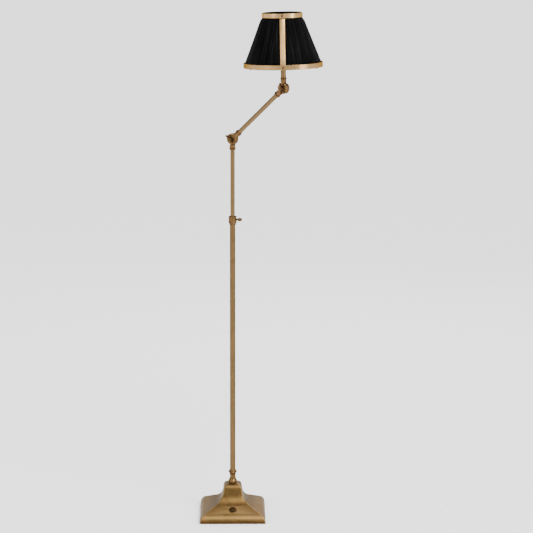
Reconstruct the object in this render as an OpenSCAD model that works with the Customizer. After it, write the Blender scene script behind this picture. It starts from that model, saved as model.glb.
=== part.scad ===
// Pharmacy floor lamp: square ogee base, telescopic column, jointed arm and a pleated drum-cone shade.
// Millimetres, +Z up. The origin is on the column's axis, on the plane that the lamp stands on.
// +X runs from the column towards the side that the shade reaches over, -Y is the front.

/* [Base] */
// Side of the square base
base_w = 195; // [160:1:240]
// Height from the floor to the seat of the finial
base_h = 97; // [86:0.5:120]
// Height of the upright edge round the base
flange_h = 3.3; // [2.5:0.1:6]
// Radius of the shoulder over the upright edge
shoulder_r = 24; // [14:0.5:28]
// Width of the neck where the hollow sweep ends
neck_w = 58; // [48:1:70]
// Radius of the hollow sweep between skirt and neck
cove_r = 38; // [30:1:44]
// Height of the neck above the sweep
neck_h = 26; // [22:0.5:32]
// Radius that rounds the top of the neck
crown_r = 13.5; // [8:0.5:14]
// Wall of the brass shell
shell_wall = 1.6; // [1:0.1:2.5]
// Thickness of the felt under the base
felt_t = 2; // [1:0.5:4]
// Thickness of the steel closing plate
plate_t = 2; // [1.5:0.5:3]
// Height of the top of the iron weight
weight_top = 38; // [26:1:44]

/* [Foot switch] */
// Diameter of the button
button_d = 17; // [12:0.5:22]
// Height of the button above the skirt
button_rise = 6; // [4:0.5:8]
// Travel of the button
button_travel = 3; // [2:0.5:4]
// Distance of the button's centre up the skirt from the shoulder
button_at = 18.5; // [15:0.1:26]

/* [Column] */
// Outside diameter of the fixed tube
column_d = 16; // [15.6:0.1:20]
// Wall of the fixed tube
column_wall = 1; // [0.8:0.1:1.5]
// Height of the top of the fixed tube
column_top = 895; // [700:0.5:1100]
// Outside diameter of the sliding mast, the arm tube and the stem
mast_d = 12.7; // [10:0.1:12.8]
// Wall of the sliding mast, the arm tube and the stem
mast_wall = 1; // [0.8:0.1:1.5]
// Height of the foot of the sliding mast
mast_foot = 640; // [500:1:680]
// Height of the elbow's pivot above the floor
elbow_z = 1135; // [1060:1:1250]

/* [Joints] */
// Diameter of the friction discs
disc_d = 32; // [28:0.5:40]
// Thickness of one disc
disc_t = 6.5; // [5:0.5:8]
// Space between two discs
lap_gap = 1.6; // [1.4:0.1:2.4]
// Diameter of the ferrules
ferrule_d = 16.4; // [15.4:0.1:20]
// Distance from a pivot to the end of its ferrule
ferrule_end = 32; // [30:0.5:40]
// Distance from a pivot to the middle of the ferrule's ring
ring_at = 27.5; // [26:0.5:34]
// Diameter of the pivot bolts
bolt_d = 6; // [5:0.5:8]
// Turn of the joints' axis about the vertical, towards the front
joint_yaw = 30; // [0:1:60]

/* [Arm] */
// Length between the two pivots
arm_len = 227.5; // [180:0.5:320]
// Angle of the arm from the vertical
arm_angle = 47; // [30:1:60]

/* [Head] */
// Angle by which the head leans back to the column
head_lean = 1.7; // [0:0.1:5]
// Diameter of the stem's sleeve under the shade
sleeve_d = 15; // [14.4:0.1:18]
// Height of the stem's top above the head's pivot
stem_top = 78; // [74:1:90]
// Diameter of the lampholder
holder_d = 34; // [32:1:40]
// Length of the lampholder
holder_h = 46; // [42:1:50]
// Largest diameter of the bulb
bulb_d = 48; // [40:1:52]
// Height of the bulb's glass
bulb_h = 62; // [56:1:70]

/* [Shade] */
// Height of the shade's lower edge above the head's pivot
shade_foot = 59.4; // [56:0.1:66]
// Height of the shade
shade_h = 152.6; // [140:0.1:185]
// Outside diameter of the lower ring
shade_bottom_d = 224; // [190:1:270]
// Outside diameter of the upper ring
shade_top_d = 114.6; // [104:0.1:138]
// Height of the lower ring
bottom_ring_h = 13.6; // [12:0.1:18]
// Height of the upper ring
top_ring_h = 12.2; // [11:0.1:16]
// Height of the cover's rim over the upper ring
rim_h = 1.2; // [0.8:0.1:2]
// Thickness of the rings and the straps
band_t = 1.2; // [0.8:0.1:2]
// Width of the straps
strap_w = 14.2; // [10:0.1:20]
// Turn of the straps about the shade's axis
strap_turn = -1.8; // [-6:0.1:6]
// Step from the lower ring in to the pleats
pleat_step = 7; // [5:0.5:10]
// Thickness of the pleated cover
cover_t = 1.4; // [1:0.1:2]
// Thickness of the lining
lining_t = 0.6; // [0.4:0.1:1]

/* [Hidden] */
$fn = 64;
eps = 0.01;
// Space between pieces of one body, radial play of a running fit, and space between moving bodies
seat = 0.05;
play = 0.05;
gap = 0.3;

brass = [0.62, 0.46, 0.27];
dark_brass = [0.36, 0.25, 0.12];
steel = [0.66, 0.67, 0.69];
iron = [0.26, 0.26, 0.27];
nylon = [0.90, 0.89, 0.84];
black = [0.07, 0.07, 0.08];

// ---- curves shared by several pieces ----

function arc(centre, r, a0, a1, n) =
    [for (i = [0 : n]) centre + r * [cos(a0 + (a1 - a0) * i / n), sin(a0 + (a1 - a0) * i / n)]];

// The base's outline, half of it, as a shoulder, a straight skirt, a hollow sweep and a crown.
// The skirt is the line that touches both the shoulder's circle and the sweep's circle; the two
// radii are limited by the height between the edge and the neck, so that a skirt is always left.
neck_taper = 8;
skirt_room = base_h - neck_h - flange_h;
shoulder = min(shoulder_r, 0.36 * skirt_room);
cove = min(cove_r, 0.58 * skirt_room);
shoulder_c = [base_w / 2 - shoulder, flange_h];
cove_c = [neck_w / 2 + cove * cos(neck_taper), base_h - neck_h + cove * sin(neck_taper)];
cove_d = cove_c - shoulder_c;
skirt_dir = atan2(cove_d[1], cove_d[0]) + asin((shoulder + cove) / norm(cove_d));
skirt_slope = 180 - skirt_dir;
neck_run = (neck_h - crown_r + crown_r * sin(neck_taper)) / cos(neck_taper);
crown_c = [neck_w / 2 - neck_run * sin(neck_taper) - crown_r * cos(neck_taper), base_h - crown_r];

function base_half(inset, foot) = concat(
    [[base_w / 2 - inset, foot]],
    arc(shoulder_c, shoulder - inset, 0, skirt_dir - 90, 12),
    arc(cove_c, cove + inset, skirt_dir + 90, 180 + neck_taper, 12),
    arc(crown_c, crown_r - inset, neck_taper, 90, 7));

function mirrored(line) = [for (i = [len(line) - 1 : -1 : 0]) [-line[i][0], line[i][1]]];

// The outline drawn through the base along one axis; two of them, crossed, leave the four-sided form
module base_slab(inset, foot, turn) {
    half = base_half(inset, foot);
    rotate([90, 0, turn]) linear_extrude(base_w + 2, center = true) polygon(concat(half, mirrored(half)));
}

module base_form(inset, foot) {
    intersection() {
        base_slab(inset, foot, 0);
        base_slab(inset, foot, 90);
    }
}

// ---- base ----

shell_foot = felt_t / 2;
plate_z = felt_t;
weight_z = plate_z + plate_t;
weight_inset = shell_wall + 1.2;
nipple_d = 10;
nipple_bore = 7;
nut_af = 14;
nut_h = 5;
washer_d = 22;
washer_t = 1.5;
nut_pocket_h = nut_h + washer_t + 2.5;
spacer_d = 20;
plate_half = base_w / 2 - shell_wall - 2;
plate_screw_d = 4;
plate_screw_head = 7.6;
plate_screw_l = 12;
plate_screw_at = base_w / 2 - 30;
grommet_z = felt_t / 2 + 5;
grommet_d = 7;
grommet_bore = 5.5;
grommet_flange_d = 9;
grommet_flange_t = 1;
grommet_in_t = 1.7;
grommet_l = grommet_in_t + shell_wall + grommet_flange_t + 2 * seat;
channel_w = 10;

module at_inlet() {
    translate([0, base_w / 2 - shell_wall - grommet_in_t - seat, grommet_z]) rotate([-90, 0, 0]) children();
}

module at_plate_screws() {
    for (x = [-1, 1], y = [-1, 1])
        translate([x * plate_screw_at, y * plate_screw_at, plate_z]) children();
}

module base_felt() {
    color("darkgreen") translate([-plate_half, -plate_half, 0]) cube([2 * plate_half, 2 * plate_half, felt_t]);
}

module base_plate() {
    color(steel) difference() {
        translate([-plate_half, -plate_half, plate_z]) cube([2 * plate_half, 2 * plate_half, plate_t]);
        at_plate_screws() {
            translate([0, 0, -eps]) cylinder(d = plate_screw_d + 2 * seat, h = plate_t + 1);
            translate([0, 0, -eps]) cylinder(d1 = plate_screw_head + 2 * seat, d2 = plate_screw_d, h = plate_t);
        }
    }
}

module base_plate_screws() {
    color(steel) at_plate_screws() union() {
        cylinder(d = plate_screw_d, h = plate_screw_l);
        cylinder(d1 = plate_screw_head, d2 = plate_screw_d - seat, h = plate_t - seat);
    }
}

module base_weight() {
    color(iron) difference() {
        intersection() {
            base_form(weight_inset, shell_foot);
            translate([-base_w / 2, -base_w / 2, weight_z]) cube([base_w, base_w, weight_top - weight_z]);
        }
        cylinder(d = nipple_d + 1, h = base_h);
        translate([0, 0, weight_z - 1]) cylinder(d = washer_d + 4, h = nut_pocket_h + 1);
        translate([-channel_w / 2, 0, weight_z - 1]) cube([channel_w, base_w, nut_pocket_h + 1]);
        at_plate_screws() cylinder(d = plate_screw_d + 2 * seat, h = plate_screw_l + 2);
        at_switch() translate([0, 0, -switch_depth - 2]) cylinder(d = switch_body_d + 2, h = base_h);
    }
}

module base_shell() {
    color(brass) difference() {
        base_form(0, shell_foot);
        base_form(shell_wall, shell_foot - 1);
        translate([0, 0, base_h - 2 * shell_wall]) cylinder(d = nipple_d + 2 * seat, h = 3 * shell_wall);
        at_switch() translate([0, 0, -5]) cylinder(d = bezel_neck_d + 2 * seat, h = 10);
        translate([0, base_w / 2 - 5, grommet_z]) rotate([-90, 0, 0]) cylinder(d = grommet_d + 2 * seat, h = 10);
    }
}

module base_spacer() {
    color(steel) translate([0, 0, weight_top]) difference() {
        cylinder(d = spacer_d, h = base_h - shell_wall - weight_top);
        translate([0, 0, -1]) cylinder(d = nipple_d + 2 * seat, h = base_h);
    }
}

finial_h = 41;
nipple_foot = weight_z + 1;
nipple_top = base_h + finial_h + 8;
module base_nipple() {
    color(steel) translate([0, 0, nipple_foot]) difference() {
        cylinder(d = nipple_d, h = nipple_top - nipple_foot);
        translate([0, 0, -1]) cylinder(d = nipple_bore, h = nipple_top);
    }
}

module base_nut() {
    color(steel) translate([0, 0, weight_z + nut_pocket_h - washer_t - nut_h]) difference() {
        cylinder(d = nut_af / cos(30), h = nut_h, $fn = 6);
        translate([0, 0, -1]) cylinder(d = nipple_d + 2 * seat, h = nut_h + 2);
    }
}

module base_washer() {
    color(steel) translate([0, 0, weight_z + nut_pocket_h - washer_t]) difference() {
        cylinder(d = washer_d, h = washer_t);
        translate([0, 0, -1]) cylinder(d = nipple_d + 2 * seat, h = washer_t + 2);
    }
}

module cord_grommet() {
    color(black) difference() {
        union() {
            difference() {
                at_inlet() {
                    cylinder(d = grommet_flange_d, h = grommet_l - grommet_flange_t / 2);
                    cylinder(d = grommet_flange_d - grommet_flange_t, h = grommet_l);
                }
                difference() {
                    base_slab(-seat, -shell_foot, 90);
                    base_slab(shell_wall + seat, -2 * shell_foot, 90);
                }
            }
            at_inlet() cylinder(d = grommet_d, h = grommet_l);
        }
        at_inlet() translate([0, 0, -1]) cylinder(d = grommet_bore, h = grommet_l + 2);
    }
}

// ---- foot switch, square to the front skirt ----

bezel_t = 1.8;
bezel_w = 2.4;
bezel_neck_d = button_d + 2 * gap + 1.6;
bezel_neck_h = shell_wall + 5;
switch_body_d = bezel_neck_d + 5;
switch_depth = 18;
button_tail = 4;
skirt_foot = shoulder_c + shoulder * [cos(skirt_dir - 90), sin(skirt_dir - 90)];
switch_c = skirt_foot + button_at * [cos(skirt_dir), sin(skirt_dir)];

module at_switch() {
    translate([0, -switch_c[0], switch_c[1]]) rotate([skirt_slope, 0, 0]) children();
}

module foot_switch_bezel() {
    color(brass) at_switch() rotate_extrude() polygon([
        [button_d / 2 + gap, -bezel_neck_h],
        [bezel_neck_d / 2, -bezel_neck_h],
        [bezel_neck_d / 2, seat],
        [bezel_neck_d / 2 + bezel_w, seat],
        [bezel_neck_d / 2 + bezel_w, bezel_t - 0.8],
        [bezel_neck_d / 2 + bezel_w - 0.8, bezel_t],
        [button_d / 2 + gap, bezel_t]]);
}

module foot_switch_body() {
    color(black) at_switch() translate([0, 0, -switch_depth]) difference() {
        cylinder(d = switch_body_d, h = switch_depth - shell_wall - 2 * seat);
        translate([0, 0, switch_depth - bezel_neck_h - seat]) cylinder(d = bezel_neck_d + 2 * seat, h = switch_depth);
        translate([0, 0, switch_depth - button_tail - button_travel - 2])
            cylinder(d = button_d + 2 * gap, h = switch_depth);
    }
}

module foot_switch_button() {
    color(dark_brass) at_switch() rotate_extrude() polygon(concat(
        [[0, -button_tail], [button_d / 2, -button_tail]],
        [[button_d / 2, button_rise - 2.5]],
        arc([button_d / 2 - 2, button_rise - 2.5], 2, 0, 70, 4),
        [[button_d / 4, button_rise - 0.1], [0, button_rise]]));
}

// ---- column ----

finial_foot_r = 12.4;
foot_rim_up = 8;
waist_r = 8.2;
waist_up = 21;
bead_r = 12.8;
bead_up = 32.8;
bead_lip = 1.6;
column_foot = base_h + finial_h - 9;
collar_d = 22.6;
collar_rim_d = 23.8;
collar_rim_h = 2.6;
collar_z = column_top - 6.5;
collar_h = 20;
collar_skirt_h = 5;
screw_z = column_top + 3.6;
screw_d = 5;
bush_h = 22;

// Radius of a curve that leaves the waist upright and reaches a ring dr wider and dz away
function flare_r(dr, dz) = (dr * dr + dz * dz) / (2 * dr);
foot_dr = finial_foot_r - waist_r;
foot_flare = flare_r(foot_dr, waist_up - foot_rim_up);
bead_flare = flare_r(bead_r - bead_lip - waist_r, bead_up - waist_up);

module foot_finial() {
    color(brass) translate([0, 0, base_h + seat]) difference() {
        rotate_extrude() polygon(concat(
            [[0, 0], [finial_foot_r - 1, 0], [finial_foot_r - 1, 2], [finial_foot_r, 2.8], [finial_foot_r, foot_rim_up]],
            arc([waist_r + foot_flare, waist_up], foot_flare,
                180 + asin((waist_up - foot_rim_up) / foot_flare), 180, 8),
            arc([waist_r + bead_flare, waist_up], bead_flare, 180, 180 - asin((bead_up - waist_up) / bead_flare), 8),
            [[bead_r, bead_up + 1.2], [bead_r, bead_up + 2.8], [bead_r - bead_lip, bead_up + 4.4]],
            [[column_d / 2 + 1.6, bead_up + 5.4]],
            [[column_d / 2 + 1.4, finial_h - 0.6], [column_d / 2 + 0.8, finial_h], [0, finial_h]]));
        translate([0, 0, -1]) cylinder(d = nipple_d + 2 * seat, h = finial_h);
        translate([0, 0, column_foot - base_h - seat]) cylinder(d = column_d + 2 * seat, h = finial_h);
    }
}

module column_tube() {
    color(brass) translate([0, 0, column_foot]) difference() {
        cylinder(d = column_d, h = column_top - column_foot);
        translate([0, 0, -1]) cylinder(d = column_d - 2 * column_wall, h = column_top);
    }
}

module column_plug() {
    color(brass) translate([0, 0, column_foot + seat]) difference() {
        cylinder(d = column_d - 2 * column_wall - 2 * seat, h = 24);
        translate([0, 0, -1]) cylinder(d = nipple_d + 2 * seat, h = 30);
    }
}

module column_bush() {
    color(nylon) translate([0, 0, column_top - bush_h]) difference() {
        cylinder(d = column_d - 2 * column_wall - 2 * seat, h = bush_h);
        translate([0, 0, -1]) cylinder(d = mast_d + 2 * play, h = bush_h + 2);
    }
}

module column_collar() {
    color(brass) difference() {
        translate([0, 0, collar_z - collar_skirt_h]) rotate_extrude() polygon([
            [0, 0],
            [column_d / 2 + 0.9, 0],
            [column_d / 2 + 1.5, 0.6],
            [column_d / 2 + 1.5, 2.4],
            [column_d / 2 + 0.9, 3],
            [column_d / 2 + 0.9, collar_skirt_h],
            [collar_rim_d / 2 - 0.5, collar_skirt_h],
            [collar_rim_d / 2, collar_skirt_h + 0.6],
            [collar_rim_d / 2, collar_skirt_h + collar_rim_h - 0.6],
            [collar_d / 2, collar_skirt_h + collar_rim_h],
            [collar_d / 2, collar_skirt_h + collar_h - collar_rim_h],
            [collar_rim_d / 2, collar_skirt_h + collar_h - collar_rim_h + 0.6],
            [collar_rim_d / 2, collar_skirt_h + collar_h - 0.6],
            [collar_rim_d / 2 - 0.8, collar_skirt_h + collar_h],
            [0, collar_skirt_h + collar_h]]);
        translate([0, 0, collar_z - 20]) cylinder(d = column_d + 2 * seat, h = column_top + seat - collar_z + 20);
        cylinder(d = mast_d + 2 * gap, h = column_top + 40);
        translate([0, 0, screw_z]) rotate([0, 90, 0]) cylinder(d = screw_d + 2 * play, h = collar_d);
    }
}

leaf_l = 15.5;
leaf_w = 10.6;
leaf_t = 3.2;
leaf_r = (leaf_l * leaf_l + leaf_w * leaf_w) / (4 * leaf_w);
leaf_x = collar_d / 2 + 2.2;

module thumb_screw() {
    color(dark_brass) translate([0, 0, screw_z]) {
        translate([mast_d / 2 + gap, 0, 0]) rotate([0, 90, 0]) cylinder(d = screw_d, h = leaf_x + 2 - mast_d / 2);
        translate([collar_rim_d / 2 + gap, 0, 0]) rotate([0, 90, 0]) cylinder(d1 = 8.4, d2 = 5.6, h = 2.4);
        translate([leaf_x + leaf_l / 2 - 0.8, leaf_t / 2, 0]) rotate([90, 0, 0]) linear_extrude(leaf_t)
            intersection() {
                translate([0, leaf_r - leaf_w / 2]) circle(leaf_r);
                translate([0, leaf_w / 2 - leaf_r]) circle(leaf_r);
            }
    }
}

// ---- sliding mast ----

follower_h = 20;
circlip_t = 1;
circlip_d = column_d - 2 * column_wall - 0.8;

module follower_bush() {
    color(nylon) translate([0, 0, mast_foot + circlip_t + 2 + gap]) difference() {
        cylinder(d = column_d - 2 * column_wall - 2 * play, h = follower_h);
        translate([0, 0, -1]) cylinder(d = mast_d + 2 * play, h = follower_h + 2);
    }
}

module mast_circlips() {
    color(steel) for (z = [2, 2 + circlip_t + 2 * gap + follower_h])
        translate([0, 0, mast_foot + z]) difference() {
            cylinder(d = circlip_d, h = circlip_t);
            translate([0, 0, -1]) cylinder(d = mast_d, h = circlip_t + 2);
        }
}

module mast_tube() {
    color(brass) translate([0, 0, mast_foot]) difference() {
        cylinder(d = mast_d, h = elbow_z - socket_at - mast_foot);
        translate([0, 0, -1]) cylinder(d = mast_d - 2 * mast_wall, h = elbow_z);
    }
}

// ---- friction joints ----
// Each joint is drawn about its pivot: +Z runs out along the tube and Y is the hinge's axis.

sleeve_at = disc_d / 2 + 1.2;
socket_at = 20;
ring_w = 3.2;
ring_d = ferrule_d + 2.8;
wire_d = 5;
bolt_head_d = 2 * bolt_d + 1;
bolt_head_h = 3.4;
pivot_washer_t = 1.2;
nut_base = lap_gap / 2 + disc_t + 2 * gap + pivot_washer_t;
wing_hub_h = 9;
wing_hub_d = bolt_d + 6.4;
wing_t = 2.6;
wing_r = 4.6;
wing_reach = 12.2;
wing_lift = 8.5;
bolt_tip = nut_base + wing_hub_h + 1.6;

module ferrule(side) {
    difference() {
        union() {
            mirror([0, side < 0 ? 1 : 0, 0]) {
                translate([0, lap_gap / 2, 0]) rotate([-90, 0, 0]) rotate_extrude() polygon([
                    [0, 0],
                    [disc_d / 2, 0],
                    [disc_d / 2, disc_t - 1.6],
                    [disc_d / 2 - 0.6, disc_t - 0.6],
                    [disc_d / 2 - 1.8, disc_t - 0.2],
                    [disc_d / 2 - 4, disc_t - 0.2],
                    [disc_d / 2 - 4.4, disc_t - 0.7],
                    [disc_d / 2 - 5, disc_t - 0.7],
                    [disc_d / 2 - 5.4, disc_t],
                    [0, disc_t]]);
                intersection() {
                    cylinder(d = ferrule_d, h = sleeve_at + eps);
                    translate([-disc_d, lap_gap / 2, 0]) cube([2 * disc_d, disc_t, disc_d]);
                }
            }
            translate([0, 0, sleeve_at]) cylinder(d = ferrule_d, h = ferrule_end - sleeve_at);
            translate([0, 0, ring_at - ring_w / 2]) rotate_extrude() polygon([
                [0, 0],
                [ring_d / 2 - 0.9, 0],
                [ring_d / 2, 0.8],
                [ring_d / 2, ring_w - 0.8],
                [ring_d / 2 - 0.9, ring_w],
                [0, ring_w]]);
        }
        translate([0, 0, socket_at]) cylinder(d = mast_d + 2 * seat, h = ferrule_end);
        translate([0, 0, bolt_d + 3]) cylinder(d = wire_d, h = ferrule_end);
        translate([0, disc_d, 0]) rotate([90, 0, 0]) cylinder(d = bolt_d + 2 * play, h = 2 * disc_d);
    }
}

module pivot_bolt() {
    rotate([90, 0, 0]) union() {
        translate([0, 0, -lap_gap / 2 - disc_t - 2]) cylinder(d = bolt_d, h = bolt_tip + lap_gap / 2 + disc_t + 2);
        translate([0, 0, -lap_gap / 2 - disc_t - seat]) rotate([180, 0, 0]) rotate_extrude() polygon(concat(
            [[0, 0]],
            arc([bolt_head_d / 2 - 2.6, 0], 2.6, 0, 60, 5),
            [[bolt_head_d / 4, bolt_head_h - 0.3], [0, bolt_head_h]]));
    }
}

module pivot_friction_ring() {
    translate([0, lap_gap / 2 - gap, 0]) rotate([90, 0, 0]) difference() {
        cylinder(d = disc_d - 1, h = lap_gap - 2 * gap);
        translate([0, 0, -1]) cylinder(d = disc_d - 11, h = lap_gap + 2);
    }
}

module pivot_washer() {
    translate([0, -lap_gap / 2 - disc_t - gap, 0]) rotate([90, 0, 0]) difference() {
        cylinder(d = wing_hub_d + 2.4, h = pivot_washer_t);
        translate([0, 0, -1]) cylinder(d = bolt_d + 2 * seat, h = pivot_washer_t + 2);
    }
}

module wing_nut(turn) {
    translate([0, -nut_base, 0]) rotate([90, 0, 0]) rotate([0, 0, turn]) difference() {
        union() {
            cylinder(d1 = wing_hub_d, d2 = wing_hub_d - 2.4, h = wing_hub_h);
            translate([0, wing_t / 2, 0]) rotate([90, 0, 0]) linear_extrude(wing_t) for (side = [-1, 1]) {
                translate([side * wing_reach, wing_lift]) circle(wing_r);
                polygon([
                    [side * 2, 0.6],
                    [side * (wing_hub_d / 2 + 0.4), 0.6],
                    [side * (wing_reach + 2.6), wing_lift - 3.8],
                    [side * (wing_reach - 2.0), wing_lift + 4.1],
                    [side * 2, wing_hub_h - 0.6]]);
            }
        }
        translate([0, 0, -1]) cylinder(d = bolt_d + 2 * play, h = 3 * wing_hub_h);
    }
}

module elbow_frame() {
    translate([0, 0, elbow_z]) rotate([0, 0, -joint_yaw]) children();
}

module arm_frame() {
    elbow_frame() rotate([0, arm_angle, 0]) children();
}

module head_frame() {
    arm_frame() translate([0, 0, arm_len]) rotate([0, -arm_angle - head_lean, 0]) children();
}

module mast_ferrule() {
    color(brass) elbow_frame() rotate([0, 180, 0]) ferrule(1);
}

module elbow_bolt() {
    color(steel) elbow_frame() pivot_bolt();
}

module elbow_friction_ring() {
    color(nylon) elbow_frame() pivot_friction_ring();
}

module elbow_washer() {
    color(brass) elbow_frame() pivot_washer();
}

module elbow_wing_nut() {
    color(dark_brass) elbow_frame() wing_nut(135);
}

module arm_lower_ferrule() {
    color(brass) arm_frame() ferrule(-1);
}

module arm_tube() {
    color(brass) arm_frame() translate([0, 0, socket_at]) difference() {
        cylinder(d = mast_d, h = arm_len - 2 * socket_at);
        translate([0, 0, -1]) cylinder(d = mast_d - 2 * mast_wall, h = arm_len);
    }
}

module arm_upper_ferrule() {
    color(brass) arm_frame() translate([0, 0, arm_len]) rotate([0, 180, 0]) ferrule(-1);
}

module head_ferrule() {
    color(brass) head_frame() ferrule(1);
}

module head_bolt() {
    color(steel) head_frame() pivot_bolt();
}

module head_friction_ring() {
    color(nylon) head_frame() pivot_friction_ring();
}

module head_washer() {
    color(brass) head_frame() pivot_washer();
}

module head_wing_nut() {
    color(dark_brass) head_frame() wing_nut(96);
}

// ---- head ----
// The shade's own frame stands on the head's pivot and turns the front strap square to the front.

module shade_frame() {
    head_frame() rotate([0, 0, joint_yaw]) children();
}

carrier_z = shade_foot + 6.2;
carrier_t = 2.5;
carrier_w = 8;
carrier_hub_d = 26;
carrier_hub_h = 9;
carrier_angles = [-30, 90, 210];
lug_w = 10;
lug_l = 7;
lug_t = carrier_z - shade_foot - 2.2;
ring_in = shade_bottom_d / 2 - band_t;
lug_screw_at = ring_in - lug_l / 2;
lug_screw_d = 3;
lug_screw_head = 6;
holder_z = stem_top - 3;
insulator_h = 14;
thread_in = 26.6;
thread_wall = 0.5;
bulb_cap_h = 24;
contact_h = 2;
bulb_cap_z = holder_z + insulator_h + contact_h + 4;
glass_z = bulb_cap_z + bulb_cap_h;

module stem_tube() {
    color(brass) head_frame() translate([0, 0, socket_at]) difference() {
        cylinder(d = mast_d, h = stem_top - socket_at);
        translate([0, 0, -1]) cylinder(d = mast_d - 2 * mast_wall, h = stem_top);
    }
}

module stem_sleeve() {
    color(brass) head_frame() translate([0, 0, ferrule_end + seat]) difference() {
        cylinder(d = sleeve_d, h = carrier_z - ferrule_end - 2 * seat);
        translate([0, 0, -1]) cylinder(d = mast_d + 2 * seat, h = carrier_z);
    }
}

module shade_carrier() {
    color(brass) shade_frame() difference() {
        union() {
            translate([0, 0, carrier_z]) cylinder(d = carrier_hub_d, h = carrier_hub_h);
            for (turn = carrier_angles)
                rotate([0, 0, turn]) translate([0, -carrier_w / 2, carrier_z])
                    cube([ring_in - 1.2, carrier_w, carrier_t]);
        }
        translate([0, 0, carrier_z - 1]) cylinder(d = mast_d + 2 * seat, h = carrier_hub_h + 2);
        for (turn = carrier_angles)
            rotate([0, 0, turn]) translate([lug_screw_at, 0, carrier_z - 1])
                cylinder(d = lug_screw_d + 2 * seat, h = carrier_t + 2);
    }
}

module carrier_screws() {
    color(dark_brass) shade_frame() for (turn = carrier_angles)
        rotate([0, 0, turn]) translate([lug_screw_at, 0, carrier_z - lug_t]) {
            translate([0, 0, -1]) cylinder(d = lug_screw_d, h = lug_t + carrier_t + 1.4);
            translate([0, 0, -4.4 - 2 * seat])
                cylinder(d1 = lug_screw_head - 2, d2 = lug_screw_head, h = 4.4);
        }
}

module holder_cup() {
    color(brass) head_frame() translate([0, 0, holder_z]) difference() {
        rotate_extrude() polygon([
            [0, 0],
            [holder_d / 2 - 7, 0],
            [holder_d / 2 - 1.5, 5],
            [holder_d / 2, 9],
            [holder_d / 2, insulator_h],
            [0, insulator_h]]);
        translate([0, 0, -1]) cylinder(d = mast_d + 2 * seat, h = 8);
        translate([0, 0, 6]) cylinder(d = holder_d - 8, h = insulator_h);
    }
}

module holder_shell() {
    color(brass) head_frame() translate([0, 0, holder_z + insulator_h + seat]) difference() {
        cylinder(d = holder_d, h = holder_h - insulator_h);
        translate([0, 0, -1]) cylinder(d = holder_d - 1.6, h = holder_h);
    }
}

module holder_insulator() {
    color(nylon) head_frame() translate([0, 0, holder_z + insulator_h + seat]) difference() {
        cylinder(d = holder_d - 1.6 - 2 * seat, h = holder_h - insulator_h - 1);
        translate([0, 0, contact_h]) cylinder(d = thread_in + 2 * thread_wall + 2 * seat, h = holder_h);
        translate([0, 0, -1]) cylinder(d = 4 + 2 * seat, h = 10);
    }
}

module holder_thread() {
    color(brass) head_frame() translate([0, 0, holder_z + insulator_h + contact_h + 3]) difference() {
        cylinder(d = thread_in + 2 * thread_wall, h = bulb_cap_h);
        translate([0, 0, -1]) cylinder(d = thread_in, h = bulb_cap_h + 2);
    }
}

module holder_contact() {
    color(brass) head_frame() translate([0, 0, holder_z + insulator_h - 1]) union() {
        cylinder(d = 4, h = contact_h + 2);
        translate([0, 0, contact_h + 1.4]) cylinder(d = 8, h = 1);
    }
}

module bulb_cap() {
    color(steel) head_frame() translate([0, 0, bulb_cap_z - 1.4]) rotate_extrude() polygon([
        [0, 0],
        [4, 0],
        [thread_in / 2 - 4, 3],
        [thread_in / 2 - 0.3, 4.4],
        [thread_in / 2 - 0.3, bulb_cap_h + 1.4],
        [0, bulb_cap_h + 1.4]]);
}

bulb_r = bulb_d / 2;
bulb_neck_r = thread_in / 2 - 1.2;
bulb_c = bulb_h - bulb_r;
module bulb_glass() {
    color([0.95, 0.95, 0.9]) head_frame() translate([0, 0, glass_z + seat]) rotate_extrude() polygon(concat(
        [[0, 0], [bulb_neck_r, 0], [bulb_neck_r + 0.4, 6]],
        arc([0, bulb_c], bulb_r, -38, 90, 12)));
}

// ---- shade ----

shade_top = shade_foot + shade_h;
bottom_ring_top = shade_foot + bottom_ring_h;
top_ring_foot = shade_top - rim_h - top_ring_h;
top_rivet_z = top_ring_foot + top_ring_h / 2;
top_ring_in = shade_top_d / 2 - band_t;
strap_angles = [strap_turn - 90, strap_turn + 30, strap_turn + 150];
strap_seat = 0.1;
// Where the straps leave the upper ring, and the cover's outside there and at the lower ring
spring_z = top_ring_foot - 4;
strap_out_top = top_ring_in - strap_seat;
strap_out_spring = top_ring_in + 3.6;
strap_out_foot = ring_in - strap_seat;
cover_top_r = strap_out_top - band_t - 0.35;
cover_spring_r = strap_out_spring - band_t - 0.45;
cover_foot_r = shade_bottom_d / 2 - pleat_step;
cover_foot_z = bottom_ring_top;
cover_hem_z = carrier_z + carrier_t + 0.8;
cover_slope = (cover_foot_r - cover_spring_r) / (spring_z - cover_foot_z);
cover_hem_r = cover_foot_r + cover_slope * (cover_foot_z - cover_hem_z);
rivet_d = 3;
rivet_head_d = 5.4;

// Half section of a layer of the shade, d in from the cover's outside and t thick
function layer(d, t) = concat(
    [for (p = layer_line(d)) p],
    [for (i = [3 : -1 : 0]) layer_line(d + t)[i]]);
function layer_line(d) = [
    [cover_top_r - d, shade_top],
    [cover_top_r - d, top_ring_foot + 0.6],
    [cover_spring_r - d, spring_z],
    [cover_hem_r - d, cover_hem_z]];

module band(r_out, h) {
    difference() {
        cylinder(r = r_out, h = h, $fn = 128);
        translate([0, 0, -1]) cylinder(r = r_out - band_t, h = h + 2, $fn = 128);
    }
}

module at_rivet(turn, r, z) {
    rotate([0, 0, turn]) translate([r, 0, z]) rotate([0, 90, 0]) children();
}

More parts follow.
